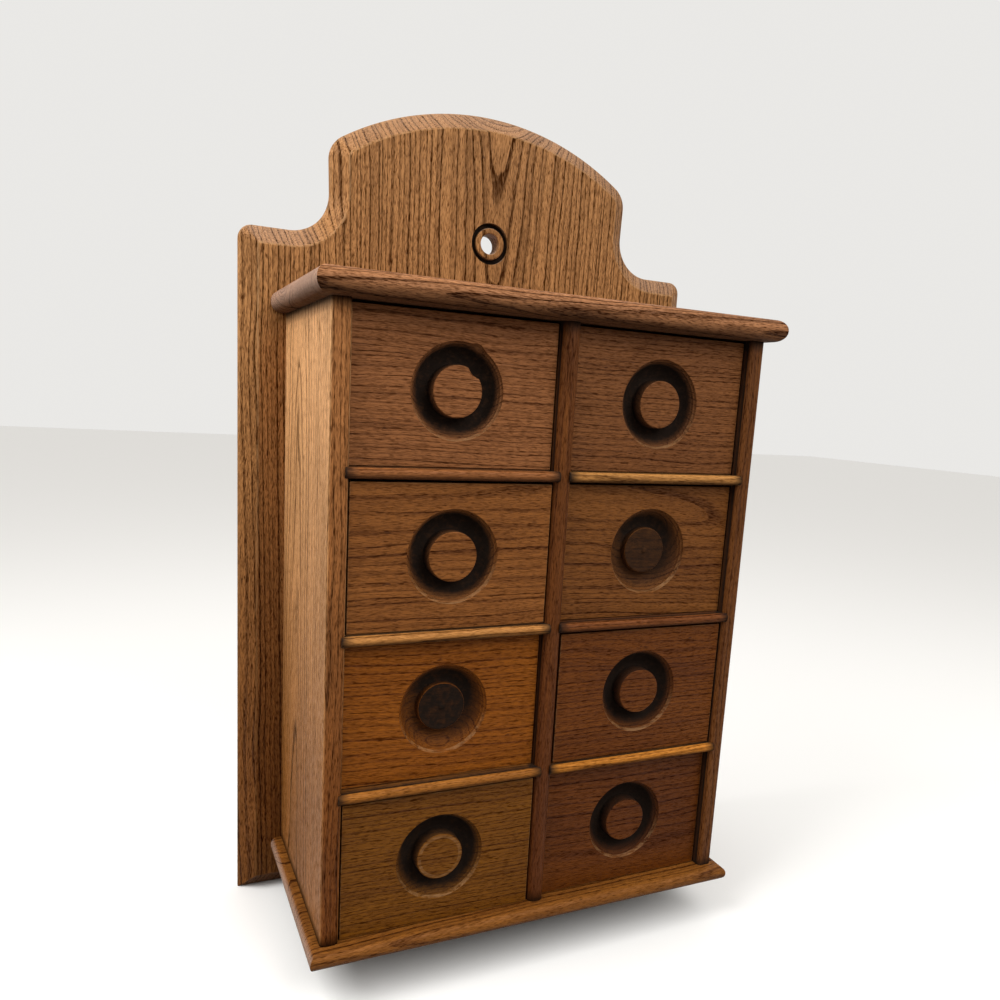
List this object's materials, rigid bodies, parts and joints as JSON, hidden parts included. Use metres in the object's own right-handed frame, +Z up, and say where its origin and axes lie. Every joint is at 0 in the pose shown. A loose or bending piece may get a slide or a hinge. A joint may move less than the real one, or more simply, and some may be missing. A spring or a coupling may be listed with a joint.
{
  "type": "spice drawer cabinet",
  "caption": "Small hanging oak cabinet of drawers with turned ring finger pulls, on a bevelled, shaped backboard with a hanging hole.",
  "frame": {"origin": "middle of the whole cabinet's width and depth, level with the backboard's lower edge", "axes": "+X to the cabinet's right seen from the front, +Y to the wall behind it, +Z up"},
  "size_m": [0.3114, 0.1454, 0.5086],
  "materials": {
    "backboard_oak": "stained ring-porous oak, vertical grain, satin and worn at the edges",
    "case_oak": "stained oak, satin, dark in the pores",
    "shelf_oak": "stained oak, satin, worn along the nose",
    "drawer_front_oak": "stained oak, horizontal grain, satin, dark in the turned pull",
    "drawer_box_wood": "bare pale wood, aged",
    "nail_steel": "darkened steel",
    "screw_steel": "dull steel, slotted"
  },
  "bodies": {
    "case": {"backboard": "backboard_oak", "top_board": "case_oak", "bottom_board": "case_oak", "left_side": "case_oak", "right_side": "case_oak", "centre_divider": "case_oak", "left_shelf_1": "shelf_oak", "left_shelf_2": "shelf_oak", "left_shelf_3": "shelf_oak", "right_shelf_1": "shelf_oak", "right_shelf_2": "shelf_oak", "right_shelf_3": "shelf_oak", "top_nails": "nail_steel", "bottom_nails": "nail_steel", "back_screws": "screw_steel"},
    "left_drawer_1": {"left_drawer_1_front": "drawer_front_oak", "left_drawer_1_left_side": "drawer_box_wood", "left_drawer_1_right_side": "drawer_box_wood", "left_drawer_1_back": "drawer_box_wood", "left_drawer_1_bottom": "drawer_box_wood"},
    "left_drawer_2": {"left_drawer_2_front": "drawer_front_oak", "left_drawer_2_left_side": "drawer_box_wood", "left_drawer_2_right_side": "drawer_box_wood", "left_drawer_2_back": "drawer_box_wood", "left_drawer_2_bottom": "drawer_box_wood"},
    "left_drawer_3": {"left_drawer_3_front": "drawer_front_oak", "left_drawer_3_left_side": "drawer_box_wood", "left_drawer_3_right_side": "drawer_box_wood", "left_drawer_3_back": "drawer_box_wood", "left_drawer_3_bottom": "drawer_box_wood"},
    "left_drawer_4": {"left_drawer_4_front": "drawer_front_oak", "left_drawer_4_left_side": "drawer_box_wood", "left_drawer_4_right_side": "drawer_box_wood", "left_drawer_4_back": "drawer_box_wood", "left_drawer_4_bottom": "drawer_box_wood"},
    "right_drawer_1": {"right_drawer_1_front": "drawer_front_oak", "right_drawer_1_left_side": "drawer_box_wood", "right_drawer_1_right_side": "drawer_box_wood", "right_drawer_1_back": "drawer_box_wood", "right_drawer_1_bottom": "drawer_box_wood"},
    "right_drawer_2": {"right_drawer_2_front": "drawer_front_oak", "right_drawer_2_left_side": "drawer_box_wood", "right_drawer_2_right_side": "drawer_box_wood", "right_drawer_2_back": "drawer_box_wood", "right_drawer_2_bottom": "drawer_box_wood"},
    "right_drawer_3": {"right_drawer_3_front": "drawer_front_oak", "right_drawer_3_left_side": "drawer_box_wood", "right_drawer_3_right_side": "drawer_box_wood", "right_drawer_3_back": "drawer_box_wood", "right_drawer_3_bottom": "drawer_box_wood"},
    "right_drawer_4": {"right_drawer_4_front": "drawer_front_oak", "right_drawer_4_left_side": "drawer_box_wood", "right_drawer_4_right_side": "drawer_box_wood", "right_drawer_4_back": "drawer_box_wood", "right_drawer_4_bottom": "drawer_box_wood"}
  },
  "joints": [
    {"name": "left_drawer_1_slide", "type": "slide", "parent": "case", "child": "left_drawer_1", "axis": [0, -1, 0], "range_m": [0, 0.1]},
    {"name": "left_drawer_2_slide", "type": "slide", "parent": "case", "child": "left_drawer_2", "axis": [0, -1, 0], "range_m": [-0.0038, 0.0962]},
    {"name": "left_drawer_3_slide", "type": "slide", "parent": "case", "child": "left_drawer_3", "axis": [0, -1, 0], "range_m": [0, 0.1]},
    {"name": "left_drawer_4_slide", "type": "slide", "parent": "case", "child": "left_drawer_4", "axis": [0, -1, 0], "range_m": [-0.004, 0.096]},
    {"name": "right_drawer_1_slide", "type": "slide", "parent": "case", "child": "right_drawer_1", "axis": [0, -1, 0], "range_m": [-0.0006, 0.0994]},
    {"name": "right_drawer_2_slide", "type": "slide", "parent": "case", "child": "right_drawer_2", "axis": [0, -1, 0], "range_m": [-0.0008, 0.0992]},
    {"name": "right_drawer_3_slide", "type": "slide", "parent": "case", "child": "right_drawer_3", "axis": [0, -1, 0], "range_m": [-0.004, 0.096]},
    {"name": "right_drawer_4_slide", "type": "slide", "parent": "case", "child": "right_drawer_4", "axis": [0, -1, 0], "range_m": [-0.0008, 0.0992]}
  ]
}
